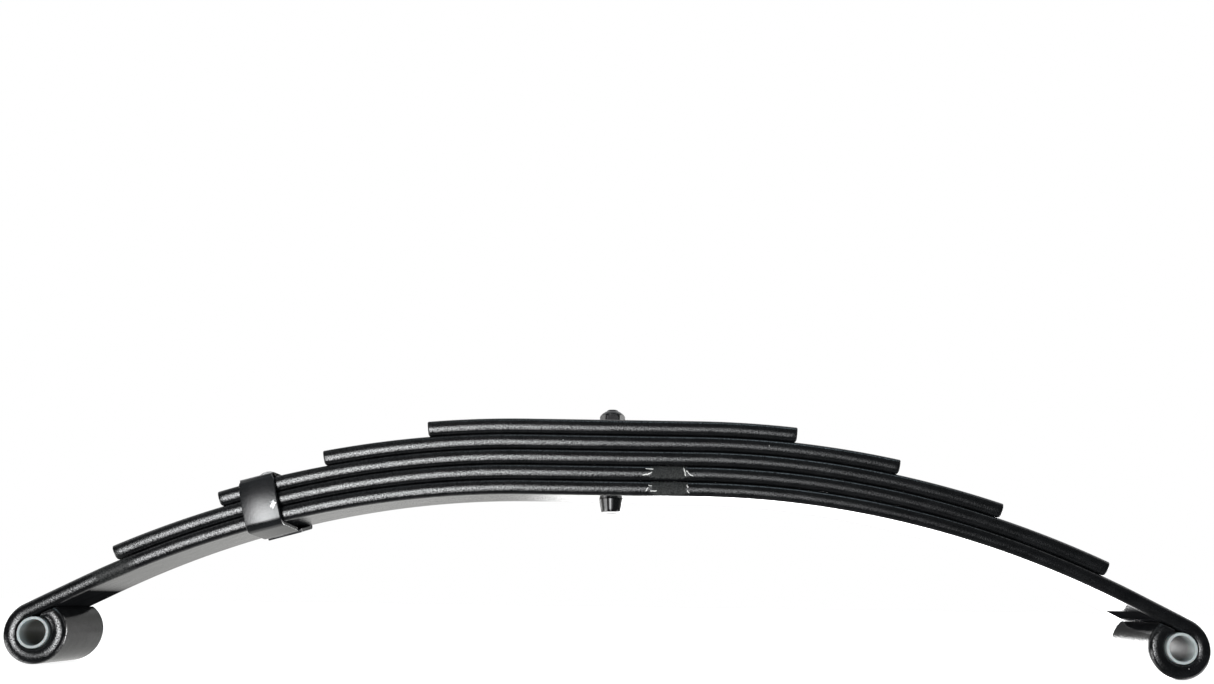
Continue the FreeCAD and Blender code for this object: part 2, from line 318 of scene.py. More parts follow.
def bar_outline(inset=0.0):
    """The bar's cross-section as (y, height) points, drawn in by inset all round."""
    half_height = LEAF_THICKNESS / 2 - inset
    crown = EDGE_CROWN - inset
    corner = EDGE_CORNER - inset
    tilt = math.asin((half_height - corner) / (crown - corner))
    middle = LEAF_WIDTH / 2 - EDGE_CROWN
    flat = middle + (crown - corner) * math.cos(tilt)
    quarter = math.pi / 2
    right = [(flat - inward, -half_height) for inward in EDGE_LINES]
    right += arc((flat, corner - half_height), corner, -quarter, -tilt, 8)
    right += arc((middle, 0), crown, -tilt, tilt, 10)[1:-1]
    right += arc((flat, half_height - corner), corner, tilt, quarter, 8)
    right += [(flat - inward, half_height) for inward in reversed(EDGE_LINES)]
    whole = right + [(-y, -h) for y, h in right]
    return [(y, h + LEAF_THICKNESS / 2) for y, h in whole]


def ring_at(station, outline):
    """The section's points in space. A station is (underside point, up, share of full thickness)."""
    foot, up, share = station
    return [foot + Y_AXIS * y + up * (h * share) for y, h in outline]


def direction(angle):
    """Along a right-hand leaf that slopes down by angle, and the way out of its top there."""
    along = Vector((math.cos(angle), 0, -math.sin(angle)))
    up = Vector((math.sin(angle), 0, math.cos(angle)))
    return along, up


def steps_for(length):
    return max(2, math.ceil(length / STATION_STEP))


def seat_and_bend(level, angle):
    """Stations of a right half leaf, from the centre bolt to the end of its bend."""
    height = level * PITCH
    count = steps_for(SEAT_HALF)
    stations = [(Vector((SEAT_HALF * i / count, 0, height)), Z_AXIS, 1.0) for i in range(count + 1)]
    radius = BEND_RADIUS + height
    centre = Vector((SEAT_HALF, 0, -BEND_RADIUS))
    count = steps_for(radius * angle)
    for i in range(1, count + 1):
        up = direction(angle * i / count)[1]
        stations.append((centre + up * radius, up, 1.0))
    return stations


def eye_bend_angle():
    """How far the main leaf bends before the straight run to its eye."""
    arm = BEND_RADIUS - EYE_RADIUS
    long_side = math.hypot(arm, EYE_STRAIGHT)
    return math.asin((EYE_CENTRE.x - SEAT_HALF) / long_side) - math.atan2(EYE_STRAIGHT, arm)


def eye_stations(angle):
    """Stations of the straight run and the rolled eye, whose end is bevelled to clear the leaf above."""
    along, up = direction(angle)
    start = EYE_CENTRE + up * EYE_RADIUS - along * EYE_STRAIGHT
    count = steps_for(EYE_STRAIGHT)
    stations = [(start + along * (EYE_STRAIGHT * i / count), up, 1.0) for i in range(1, count + 1)]
    for i in range(1, EYE_ROLL_STEPS + 1):
        turn = EYE_ROLL * i / EYE_ROLL_STEPS
        out = direction(angle + turn)[1]
        room = LEAF_THICKNESS
        if math.cos(turn) > 0 and turn > math.pi:
            room = min(room, (EYE_RADIUS - EYE_END_GAP) / math.cos(turn) - EYE_RADIUS)
        stations.append((EYE_CENTRE + out * EYE_RADIUS, out, room / LEAF_THICKNESS))
    return stations


def rounded_end(stations, rounding):
    """Rings up to a leaf's end, drawn in to round its edges by a radius above and another below."""
    foot, up, share = stations[-1]
    along = (foot - stations[-2][0]).normalized()
    plain = bar_outline()
    rings = []
    for i in range(6):
        turn = math.pi / 2 * i / 5
        above, below = (bar_outline(radius * (1 - math.cos(turn))) for radius in rounding)
        ring = []
        for (_, height), (y_above, h_above), (y_below, h_below) in zip(plain, above, below):
            mix = height / LEAF_THICKNESS
            radius = rounding[0] * mix + rounding[1] * (1 - mix)
            y = y_above * mix + y_below * (1 - mix)
            h = h_above * mix + h_below * (1 - mix)
            ring.append(foot - along * (radius * (1 - math.sin(turn))) + Y_AXIS * y + up * (h * share))
        rings.append(ring)
    return rings


def half_leaf(name, level, side):
    """One half of a leaf. side is 1 on the right and -1 on the left."""
    height = level * PITCH
    if level == 0:
        angle = eye_bend_angle()
        stations = seat_and_bend(level, angle) + eye_stations(angle)
        rounding = EYE_END_ROUNDING
    else:
        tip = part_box(name)[1].x + (side * SECOND_LEAF_OFFSET if level == 1 else 0)
        angle = math.asin((tip - SEAT_HALF) / (BEND_RADIUS + height + LEAF_THICKNESS))
        stations = seat_and_bend(level, angle)
        rounding = TIP_ROUNDING
    outline = bar_outline()
    end = stations[-1][0]
    kept = [station for station in stations if (station[0] - end).length > 1.2 * max(rounding)]
    rings = [ring_at(station, outline) for station in kept] + rounded_end(stations, rounding)
    rings = [[Vector((side * p.x, p.y, p.z)) for p in ring] for ring in rings]
    word = "right" if side > 0 else "left"
    leaf = add_object(f"{name}_{word}", sweep(rings))
    hole = rod(Vector((0, 0, height)), Z_AXIS, BOLT_HOLE_RADIUS, -CUT_MARGIN, LEAF_THICKNESS + CUT_MARGIN)
    subtract(leaf, hole)
    if level == CLIP_LEVEL - 1 and side < 0:
        foot, _, up = clip_frame()
        subtract(leaf, rod(foot, up, RIVET_HOLE_RADIUS, -LEAF_THICKNESS - CUT_MARGIN, CUT_MARGIN))
    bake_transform(leaf)
    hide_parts(name)
    return leaf


# ---------------------------------------------------------------- bushes, bolt and nut

def eye_bush(side):
    """Nylon tube with small chamfers outside and at each mouth."""
    centre = Vector((side * EYE_CENTRE.x, 0, EYE_CENTRE.z))
    half = BUSH_LENGTH / 2
    outline = [
        (BUSH_RADIUS, half - BUSH_CHAMFER),
        (BUSH_RADIUS - BUSH_CHAMFER / 2, half - BUSH_CHAMFER / 2),
        (BUSH_RADIUS - BUSH_CHAMFER, half),
        (BORE_RADIUS + BUSH_MOUTH, half),
        (BORE_RADIUS + 0.12 * MM, half - 0.15 * MM),
        (BORE_RADIUS, half - BUSH_MOUTH),
    ]
    outline += [(radius, -height) for radius, height in reversed(outline)]
    segments = 128
    rings = []
    for i in range(segments):
        t = 2 * math.pi * i / segments
        out = Vector((math.cos(t), 0, math.sin(t)))
        rings.append([centre + out * radius + Y_AXIS * height for radius, height in outline])
    name = "right_eye_bush" if side > 0 else "left_eye_bush"
    bush = add_object(f"{name}_detailed", sweep(rings, closed=True))
    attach(bush, "right_eye" if side > 0 else "left_eye")
    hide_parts(name)
    return bush


def centre_bolt():
    """Locating head under the seat, shank through the stack, and a threaded end in the nut."""
    collar = HEAD_RADIUS + HEAD_COLLAR
    low = BOLT_BOTTOM + HEAD_TIP_ROUNDING
    tip = (HEAD_TIP_RADIUS - HEAD_TIP_ROUNDING, low)
    head = [(0, BOLT_BOTTOM)] + arc(tip, HEAD_TIP_ROUNDING, -math.pi / 2, -0.2, 6)
    steps = 6
    for i in range(1, steps):
        radius = HEAD_TIP_RADIUS + (collar - HEAD_TIP_RADIUS) * i / steps
        head.append((radius, low + (-HEAD_BREAK - low) * i / steps))
    head += [(collar, -HEAD_BREAK), (collar - HEAD_BREAK, 0), (BOLT_RADIUS, 0)]
    thread_start = BOLT_TOP - THREAD_LENGTH
    shank = [(BOLT_RADIUS, thread_start - 0.4 * MM)]
    for i in range(THREAD_STEPS + 1):
        shank.append((BOLT_RADIUS, thread_start + (BOLT_TOP - thread_start) * i / THREAD_STEPS))
    shank.append((0, BOLT_TOP))
    bm = lathe(head + shank, Vector((0, 0, 0)), Z_AXIS)
    for vertex in bm.verts:
        cut_thread(vertex, thread_start)
    bolt = add_object("centre_bolt_detailed", bm)
    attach(bolt, "clamped_centre")
    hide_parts("centre_bolt")
    return bolt


def cut_thread(vertex, thread_start):
    """Draws a shank vertex in to the thread's groove, and to the tapered point at the bolt's end."""
    radius = math.hypot(vertex.co.x, vertex.co.y)
    if vertex.co.z < thread_start or radius < BOLT_RADIUS / 2:
        return
    turns = math.atan2(vertex.co.y, vertex.co.x) / (2 * math.pi)
    phase = (vertex.co.z / THREAD_PITCH - turns) % 1
    groove = THREAD_DEPTH * min(1, THREAD_FLANK * (1 - abs(2 * phase - 1)))
    fade = min(1, (vertex.co.z - thread_start) / (2 * THREAD_PITCH))
    taper = max(0, vertex.co.z - (BOLT_TOP - BOLT_POINT)) * BOLT_POINT_TAPER
    new_radius = min(BOLT_RADIUS - groove * fade, BOLT_RADIUS - taper)
    vertex.co.x *= new_radius / radius
    vertex.co.y *= new_radius / radius


def hexagon_radius(turn):
    """Distance from the nut's axis to its flats, with the corners slightly rounded."""
    sixth = math.pi / 3
    off = (turn % sixth) - sixth / 2
    flat = NUT_CORNER * math.cos(sixth / 2) / math.cos(off)
    return min(flat, NUT_CORNER - 0.18 * MM)


def dome_radius(height):
    """Radius of the nut's domed top at a height above its seat."""
    nut_height = NUT_TOP - STACK_TOP
    if height <= NUT_DOME_START:
        return NUT_CORNER
    share = (height - NUT_DOME_START) / (nut_height - NUT_DOME_START)
    chord = NUT_CORNER + (NUT_TOP_RADIUS - NUT_CORNER) * share
    return chord + NUT_DOME_BULGE * 4 * share * (1 - share) * 1.15


def centre_nut():
    """Hexagon lock nut with a domed, chamfered top and a washer face below."""
    segments = 180
    nut_height = NUT_TOP - STACK_TOP
    bore = BOLT_RADIUS + 0.05 * MM
    heights = [0, NUT_WASHER, NUT_WASHER + 0.02 * MM]
    heights += [NUT_DOME_START * share for share in (0.5, 0.9)]
    heights += [NUT_DOME_START + (nut_height - NUT_DOME_START) * i / 22 for i in range(23)]
    rings = []
    for i in range(segments):
        turn = 2 * math.pi * i / segments
        out = Vector((math.cos(turn), math.sin(turn), 0))
        ring = []
        for height in heights:
            radius = min(hexagon_radius(turn), dome_radius(height))
            if height <= NUT_WASHER:
                radius = min(radius, NUT_WASHER_RADIUS)
            ring.append(out * radius + Z_AXIS * (STACK_TOP + height))
        ring.append(out * (NUT_TOP_RADIUS - 0.25 * MM) + Z_AXIS * (NUT_TOP + 0.02 * MM))
        ring.append(out * (bore + 0.1 * MM) + Z_AXIS * (NUT_TOP - 0.15 * MM))
        ring.append(out * bore + Z_AXIS * (NUT_TOP - 0.5 * MM))
        ring.append(out * bore + Z_AXIS * STACK_TOP)
        rings.append(ring)
    nut = add_object("centre_nut_detailed", sweep(rings, closed=True))
    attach(nut, "clamped_centre")
    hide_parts("centre_nut")
    return nut


# ---------------------------------------------------------------- rebound clip

def clip_frame():
    """Where the rivet stands on the third leaf, and the directions along the leaf and out of it there."""
    radius = BEND_RADIUS + CLIP_LEVEL * PITCH - LEAF_GAP
    angle = math.asin((-CLIP_X - SEAT_HALF) / radius)
    along = Vector((math.cos(angle), 0, math.sin(angle)))
    up = Vector((-math.sin(angle), 0, math.cos(angle)))
    return Vector((-SEAT_HALF, 0, -BEND_RADIUS)) + up * radius, along, up


def strap_line(ear, ear_sag):
    """Half of the strap's middle line: (y, height, direction) along the top, round, down and under."""
    bend = CLIP_INSIDE_BEND + CLIP_THICKNESS / 2
    quarter = math.pi / 2
    drop = CLIP_LEVEL * PITCH - LEAF_GAP + CLIP_TOP_GAP + CLIP_BOTTOM_GAP + CLIP_THICKNESS
    lower_bend = CLIP_LOWER_BEND + CLIP_THICKNESS / 2
    leg = drop - bend * (1 - math.sin(CLIP_SPLAY)) - lower_bend
    lower_turn = quarter + CLIP_SPLAY - CLIP_BOW - ear_sag
    runs = [
        (CLIP_TOP_HALF, 0, 12),
        (bend * (quarter - CLIP_SPLAY), quarter - CLIP_SPLAY, 10),
        (leg, CLIP_BOW, 12),
        (lower_bend * lower_turn, lower_turn, 10),
        (ear, 0, 8),
    ]
    y, height, heading = 0.0, CLIP_TOP_GAP + CLIP_THICKNESS / 2, 0.0
    line = [(y, height, heading)]
    for length, turn, count in runs:
        for _ in range(count):
            heading += turn / count / 2
            y += length / count * math.cos(heading)
            height -= length / count * math.sin(heading)
            heading += turn / count / 2
            line.append((y, height, heading))
    return line


def strap_section(inset, neck=0.0):
    """Rounded rectangle of the strap as (along, out) points."""
    half_width = CLIP_WIDTH / 2 - inset - neck
    half_thickness = CLIP_THICKNESS / 2 - inset
    corner = max(CLIP_CORNER - inset, 0.05 * MM)
    points = []
    for quarter in range(4):
        start = quarter * math.pi / 2
        a = (half_width - corner) * (1 if quarter in (0, 3) else -1)
        b = (half_thickness - corner) * (1 if quarter in (0, 1) else -1)
        points += arc((a, b), corner, start, start + math.pi / 2, 4)
    return points


def rebound_clip():
    """The strap: a U over three leaves with its legs askew and its ears turned in under the main leaf."""
    foot, along, up = clip_frame()
    front = [(-y, h, -t) for y, h, t in strap_line(FRONT_EAR, FRONT_EAR_SAG)]
    back = strap_line(BACK_EAR, BACK_EAR_SAG)
    stations = [(y, h, t) for y, h, t in reversed(front)] + back[1:]
    rings = []
    first_inset, inset = STRAP_END_INSETS
    for i, (y, height, turn) in enumerate(stations):
        share = 0.5 + 0.5 * max(-1, min(1, y / (LEAF_WIDTH / 2)))
        lean = FRONT_LEAN + (BACK_LEAN - FRONT_LEAN) * share
        out = Y_AXIS * math.sin(turn) + up * math.cos(turn)
        centre = foot + Y_AXIS * y + up * height + along * (height * math.tan(lean))
        end = i in (0, len(stations) - 1)
        tangent = Y_AXIS * math.cos(turn) - up * math.sin(turn)
        neck = CLIP_NECK * max(0, math.sin(2 * abs(turn))) ** 2 if abs(turn) < math.pi / 2 else 0
        if abs(y) < CLIP_TOP_HALF or height < -CLIP_LOWER_BEND * 3:
            neck = 0
        ring = [centre + along * a + out * b for a, b in strap_section(0, neck)]
        if not end:
            rings.append(ring)
            continue
        outward = -tangent if i == 0 else tangent
        cap = [
            [centre - outward * inset + along * a + out * b for a, b in strap_section(0)],
            [centre - outward * first_inset + along * a + out * b for a, b in strap_section(first_inset)],
            [centre + along * a + out * b for a, b in strap_section(inset)],
        ]
        rings += cap if i else cap[::-1]
    strap = add_object("rebound_clip_strap", sweep(rings))
    subtract(strap, rod(foot, up, RIVET_HOLE_RADIUS, -CUT_MARGIN, 2 * CLIP_THICKNESS))
    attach(strap, "clip")
    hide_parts("rebound_clip")
    return strap


def clip_rivet():
    """Hammered round head over the strap, with a thin upset lip, and its shank in the third leaf."""
    foot, _, up = clip_frame()
    seat = CLIP_TOP_GAP + CLIP_THICKNESS + RIVET_HEAD_GAP
    tip = RIVET_TIP_GAP - LEAF_THICKNESS
    ball = (RIVET_HEAD_RADIUS**2 + RIVET_HEAD_HEIGHT**2) / (2 * RIVET_HEAD_HEIGHT)
    centre = seat + RIVET_HEAD_HEIGHT - ball
    low = math.asin((seat + 0.5 * MM - centre) / ball)
    head = arc((0, centre), ball, math.pi / 2, low, 16)
    lip = ball * math.cos(low) + RIVET_LIP
    outline = [(0, centre + ball)] + head[1:]
    outline += [(lip, seat + 0.35 * MM), (lip, seat + 0.1 * MM), (lip - RIVET_LIP, seat)]
    outline += [(RIVET_RADIUS, seat), (RIVET_RADIUS, tip + RIVET_TIP_CHAMFER)]
    outline += [(RIVET_RADIUS - RIVET_TIP_CHAMFER, tip), (0, tip)]
    rivet = add_object("clip_rivet_head", lathe(outline, foot, up, 72))
    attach(rivet, "clip")
    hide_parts("clip_rivet")
    return rivet


# ---------------------------------------------------------------- materials

def smooth_step(tree, value, low, high, start, end):
    """Smoothly from start to end as value goes from low to high."""
    node = tree.nodes.new("ShaderNodeMapRange")
    node.interpolation_type = "SMOOTHSTEP"
    for name, number in (("From Min", low), ("From Max", high), ("To Min", start), ("To Max", end)):
        node.inputs[name].default_value = number
    tree.links.new(value, node.inputs["Value"])
    return node.outputs["Result"]


class Shader:
    """A material's node tree, with short calls for the nodes that the finishes share."""

    def __init__(self, name):
        self.material = bpy.data.materials.new(name)
        self.material.use_nodes = True
        self.tree = self.material.node_tree
        self.surface = self.tree.nodes["Principled BSDF"]
        self.place = self.tree.nodes.new("ShaderNodeAttribute")
        self.place.attribute_name = PLACE

    def set(self, **values):
        for name, value in values.items():
            self.surface.inputs[name.replace("_", " ")].default_value = value

    def link(self, output, socket):
        self.tree.links.new(output, socket)

    def plug(self, output, name):
        self.link(output, self.surface.inputs[name])

    def math(self, operation, first, second=None, clamp=False):
        node = self.tree.nodes.new("ShaderNodeMath")
        node.operation = operation
        node.use_clamp = clamp
        for socket, value in zip(node.inputs, (first, second)):
            if isinstance(value, (int, float)):
                socket.default_value = value
            elif value is not None:
                self.link(value, socket)
        return node.outputs[0]

    def vector(self, operation, first, second, output=0):
        node = self.tree.nodes.new("ShaderNodeVectorMath")
        node.operation = operation
        self.link(first, node.inputs[0])
        if isinstance(second, bpy.types.NodeSocket):
            self.link(second, node.inputs[1])
        elif second is not None:
            node.inputs[1].default_value = second
        return node.outputs[output]

    def stretched(self, scale):
        """The rest place, stretched by a scale on each axis."""
        return self.vector("MULTIPLY", self.place.outputs["Vector"], scale)

    def noise(self, scale, detail=3.0, roughness=0.55, stretch=(1, 1, 1)):
        node = self.tree.nodes.new("ShaderNodeTexNoise")
        node.inputs["Scale"].default_value = scale
        node.inputs["Detail"].default_value = detail
        node.inputs["Roughness"].default_value = roughness
        self.link(self.stretched(stretch), node.inputs["Vector"])
        return node.outputs[0]

    def cells(self, scale, stretch=(1, 1, 1)):
        """Voronoi cells: the distance to the nearest cell point, and a random colour per cell."""
        node = self.tree.nodes.new("ShaderNodeTexVoronoi")
        node.inputs["Scale"].default_value = scale
        self.link(self.stretched(stretch), node.inputs["Vector"])
        return node.outputs["Distance"], node.outputs["Color"]

    def between(self, value, low, high, start=0.0, end=1.0):
        return smooth_step(self.tree, value, low, high, start, end)

    def coordinate(self, axis):
        node = self.tree.nodes.new("ShaderNodeSeparateXYZ")
        self.link(self.place.outputs["Vector"], node.inputs[0])
        return node.outputs[axis]

    def blend_colours(self, share, first, second):
        node = self.tree.nodes.new("ShaderNodeMix")
        node.data_type = "RGBA"
        for socket, value in zip((node.inputs[6], node.inputs[7]), (first, second)):
            if isinstance(value, tuple):
                socket.default_value = (*value, 1)
            else:
                self.link(value, socket)
        self.link(share, node.inputs[0])
        return node.outputs[2]

    def bump(self, height, strength, distance, before=None):
        node = self.tree.nodes.new("ShaderNodeBump")
        node.inputs["Strength"].default_value = strength
        node.inputs["Distance"].default_value = distance
        self.link(height, node.inputs["Height"])
        if before is not None:
            self.link(before, node.inputs["Normal"])
        return node.outputs[0]

    def strokes(self, segments, half_width):
        """1 on thin scratches, given as (x, z, x, z) ends on the side of the leaves that faces -Y."""
        wobble = self.tree.nodes.new("ShaderNodeVectorMath")
        wobble.operation = "MULTIPLY_ADD"
        noise = self.tree.nodes.new("ShaderNodeTexNoise")
        noise.inputs["Scale"].default_value = 900
        self.link(self.place.outputs["Vector"], noise.inputs["Vector"])
        self.link(noise.outputs["Color"], wobble.inputs[0])
        wobble.inputs[1].default_value = (0.0012, 0, 0.0012)
        self.link(self.place.outputs["Vector"], wobble.inputs[2])
        share = None
        for x0, z0, x1, z1 in segments:
            start = Vector((x0, 0, z0)) * MM
            run = Vector((x1, 0, z1)) * MM - start
            offset = self.vector("SUBTRACT", wobble.outputs[0], start + Vector((0.6, 0, 0.6)) * MM)
            flat = self.vector("MULTIPLY", offset, (1, 0, 1))
            travel = self.vector("DOT_PRODUCT", flat, run, 1)
            along = self.math("DIVIDE", travel, run.length_squared, clamp=True)
            nearest = self.tree.nodes.new("ShaderNodeVectorMath")
            nearest.operation = "SCALE"
            nearest.inputs[0].default_value = run
            self.link(along, nearest.inputs["Scale"])
            gap = self.vector("LENGTH", self.vector("SUBTRACT", flat, nearest.outputs[0]), None, 1)
            line = self.between(gap, half_width * 0.6, half_width * 1.4, 1.0, 0.0)
            share = line if share is None else self.math("MAXIMUM", share, line)
        front = self.between(self.coordinate(1), -LEAF_WIDTH * 0.42, -LEAF_WIDTH * 0.4, 1.0, 0.0)
        return self.math("MULTIPLY", share, front)

    def patch(self, centre, size, ragged, softness=0.12, power=8, scale=480):
        """1 inside a rounded box round a place on the object, with a ragged edge, and 0 outside."""
        total = None
        for axis, (middle, half) in enumerate(zip(centre, size)):
            offset = self.math("ABSOLUTE", self.math("SUBTRACT", self.coordinate(axis), middle))
            share = self.math("POWER", self.math("DIVIDE", offset, half), power)
            total = share if total is None else self.math("ADD", total, share)
        reach = self.math("POWER", total, 1 / power)
        wander = self.math("MULTIPLY", self.math("SUBTRACT", self.noise(scale, 4.0, 0.65), 0.5), ragged)
        return self.between(self.math("ADD", reach, wander), 1 - softness, 1 + softness, 1.0, 0.0)


def specks(shader, scale, size, rare):
    """A mask of small scattered specks: cells whose random number is high show a dot."""
    distance, colour = shader.cells(scale)
    dot = shader.between(distance, size * 0.6, size, 1.0, 0.0)
    chosen = shader.tree.nodes.new("ShaderNodeSeparateColor")
    shader.link(colour, chosen.inputs[0])
    return shader.math("MULTIPLY", dot, shader.between(chosen.outputs[0], rare, rare + 0.01))


def eye_corner_shade(shader, side):
    """Painted shade: 1 deep in the corner where a rolled eye comes back under the leaf, and 0 away from it.
    """
    x, z = shader.coordinate(0), shader.coordinate(2)
    up = direction(eye_bend_angle())[1]
    across = shader.math("ABSOLUTE", x)
    height = shader.math("ADD", shader.math("MULTIPLY", across, up.x), shader.math("MULTIPLY", z, up.z))
    off = shader.math("ABSOLUTE", shader.math("SUBTRACT", height, EYE_CENTRE.dot(up) + EYE_RADIUS))
    off = shader.math("SUBTRACT", off, shader.between(x, -SWITCH, SWITCH, 0.0, 0.006))
    aside = shader.math("POWER", shader.math("SUBTRACT", across, CREVICE[0]), 2.0)
    below = shader.math("POWER", shader.math("SUBTRACT", z, CREVICE[1]), 2.0)
    gap = shader.math("POWER", shader.math("ADD", aside, below), 0.5)
    gap = shader.math("ADD", gap, shader.between(x, -SWITCH, SWITCH, 0.0, 0.007))
    tucked = shader.between(off, 0.002, 0.0055, 1.0, 0.0)
    near = shader.math("MULTIPLY", tucked, shader.between(gap, 0.0115, 0.0265, 1.0, 0.0))
    return shader.math("MULTIPLY", near, shader.between(side, 0.0185, 0.0205, 1.0, 0.0))


def leaf_paint():
    """Gloss black paint sprayed over rolled steel: fine orange peel, scale marks, a dull patch and scuffs,
    with painted shade in the corners under the eyes.
    """
    shader = Shader("leaf_paint")
    peel = shader.noise(1100, 3.0, 0.6)
    grain = shader.noise(1350, 3.0, 0.7)
    scale_marks = shader.noise(170, 4.0, 0.6, (0.35, 1, 1))
    scuffs = [shader.patch(middle, SCUFF_SIZE, 0.7) for middle in SCUFFS]
    scuffed = shader.math("MAXIMUM", scuffs[0], scuffs[1])
    dull_patch = shader.patch(DULL_PATCH, DULL_SIZE, 0.9, 0.3)
    mottled = shader.math("MULTIPLY", dull_patch, shader.between(grain, 0.35, 0.65, 0.55, 0.95))
    scratched = shader.strokes(SCRATCHES, SCRATCH_HALF_WIDTH)
    chips = shader.math("MULTIPLY", specks(shader, 210, 0.09, 0.975), 0.3)
    marked = shader.between(scale_marks, 0.3, 0.7)
    tint = shader.blend_colours(marked, (0.003, 0.0032, 0.0035), (0.0052, 0.0055, 0.006))
    grainy = shader.between(grain, 0.3, 0.7)
    powder = shader.blend_colours(grainy, (0.012, 0.013, 0.013), (0.034, 0.035, 0.034))
    dull = shader.blend_colours(shader.math("MAXIMUM", scuffed, mottled), tint, powder)
    bare = shader.math("MAXIMUM", chips, scratched)
    shader.plug(shader.blend_colours(bare, dull, (0.62, 0.62, 0.60)), "Base Color")
    gloss = shader.between(scale_marks, 0.3, 0.7, 0.11, 0.17)
    rough = shader.math("ADD", gloss, shader.math("MULTIPLY", scuffed, 0.45), clamp=True)
    shader.plug(shader.math("ADD", rough, shader.math("MULTIPLY", mottled, 0.2), clamp=True), "Roughness")
    side = shader.math("ABSOLUTE", shader.coordinate(1))
    edge = shader.between(side, 0.0175, 0.0195, 0.15, 1.0)
    grained = shader.math("MULTIPLY", edge, shader.between(grain, 0.34, 0.66, -0.42, 0.44))
    speckle = shader.math("ADD", 0.52, grained)
    # Painted shade: the paint's shine is turned down in the corner under each rolled eye.
    corner_shade = eye_corner_shade(shader, side)
    shine = shader.math("MULTIPLY", speckle, shader.math("SUBTRACT", 1.0, corner_shade))
    dulled = shader.math("MAXIMUM", shader.math("MULTIPLY", scuffed, 0.8), mottled)
    kept = shader.math("SUBTRACT", 1.0, dulled)
    shader.plug(shader.math("MULTIPLY", shine, shader.math("MAXIMUM", kept, 0.18)), "Specular IOR Level")
    coarse = shader.bump(scale_marks, 0.35, 0.00030)
    fine = shader.bump(peel, 0.6, 0.00010, coarse)
    shader.plug(fine, "Normal")
    shader.set(Metallic=0.0, IOR=1.5)
    return shader.material


def clip_paint():
    """Satin black paint over flat strap, with a chipped place on its front leg and small specks."""
    shader = Shader("clip_paint")
    clouds = shader.noise(90, 4.0, 0.6)
    peel = shader.noise(700, 3.0, 0.6)
    dust = shader.noise(2300, 2.0, 0.6)
    chip = shader.patch(CLIP_CHIP, CHIP_SIZE, 3.2, 0.3, 2, 1100)
    marks = specks(shader, 300, 0.2, 0.94)
    clouded = shader.between(clouds, 0.3, 0.7)
    tint = shader.blend_colours(clouded, (0.0035, 0.0040, 0.0044), (0.006, 0.0067, 0.0074))
    dark = shader.blend_colours(marks, tint, (0.002, 0.002, 0.002))
    shader.plug(shader.blend_colours(chip, dark, (0.85, 0.85, 0.85)), "Base Color")
    shader.plug(shader.between(dust, 0.3, 0.7, 0.16, 0.24), "Roughness")
    coarse = shader.bump(clouds, 0.1, 0.0004)
    shader.plug(shader.bump(peel, 0.4, 0.00008, coarse), "Normal")
    shader.set(Metallic=0.0, IOR=1.5, Specular_IOR_Level=0.70)
    return shader.material


def rivet_steel():
    """Hammered steel with thin black paint left in its hollows."""
    shader = Shader("rivet_steel")
    dents = shader.noise(420, 3.0, 0.6)
    wear = shader.noise(900, 4.0, 0.7)
    worn = shader.between(wear, 0.44, 0.56)
    shader.plug(shader.blend_colours(worn, (0.05, 0.05, 0.052), (0.66, 0.66, 0.65)), "Base Color")
    shader.plug(shader.between(wear, 0.3, 0.7, 0.45, 0.3), "Roughness")
    shader.plug(shader.bump(dents, 0.6, 0.0003), "Normal")
    shader.set(Metallic=0.5, IOR=1.5)
    return shader.material


def fastener_paint(name, plenty, worn_tint, shine):
    """Black paint over turned steel: fine turning rings under the paint, and plenty or few worn specks."""
    shader = Shader(name)
    turning = shader.noise(60, 3.0, 0.7, (0.2, 0.2, 26))
    peel = shader.noise(800, 3.0, 0.6)
    flakes = shader.noise(520, 4.0, 0.7)
    wear = shader.between(flakes, 0.66 - plenty, 0.76 - plenty)
    shader.plug(shader.blend_colours(wear, (0.004, 0.0043, 0.0046), worn_tint), "Base Color")
    shader.plug(shader.between(peel, 0.3, 0.7, 0.08, 0.15), "Roughness")
    rings = shader.bump(turning, 0.1, 0.00005)
    shader.plug(shader.bump(peel, 0.25, 0.00005, rings), "Normal")
    shader.set(Metallic=0.0, IOR=1.5, Specular_IOR_Level=shine)
    return shader.material


def bush_nylon():
    """Natural nylon: milky white with slight clouding, and painted shade inside the bore, darker deeper in
    from each mouth and darker in the right bush.
    """
    shader = Shader("bush_nylon")
    clouds = shader.noise(180, 4.0, 0.6)
    dirt = shader.noise(700, 4.0, 0.7)
    white = shader.blend_colours(shader.between(clouds, 0.3, 0.7), (0.33, 0.36, 0.36), (0.26, 0.29, 0.29))
    spotted = shader.blend_colours(shader.between(dirt, 0.62, 0.75), white, (0.22, 0.21, 0.20))
    # Painted shade: the bore's wall turns darker deeper in from each mouth, and darker in the right bush.
    depth = shader.math("ABSOLUTE", shader.coordinate(1))
    mouth = BUSH_LENGTH / 2
    inside = shader.between(depth, mouth - 9 * MM, mouth - 0.6 * MM, 1.0, 0.0)
    right = shader.between(shader.coordinate(0), -SWITCH, SWITCH)
    bore_shade_share = shader.math("MULTIPLY", inside, shader.math("ADD", 0.85, shader.math("MULTIPLY", right, 0.15)))
    bore_shade = shader.blend_colours(right, (0.11, 0.105, 0.092), (0.03, 0.031, 0.031))
    shader.plug(shader.blend_colours(bore_shade_share, spotted, bore_shade), "Base Color")
    shader.plug(shader.between(dirt, 0.3, 0.7, 0.38, 0.52), "Roughness")
    shader.plug(shader.bump(dirt, 0.3, 0.00006), "Normal")
    shader.set(Subsurface_Weight=0.1, Subsurface_Scale=0.001, IOR=1.5)
    return shader.material


def finish_with(obj, material):
    obj.data.materials.clear()
    obj.data.materials.append(material)


# ---------------------------------------------------------------- stage, light and camera

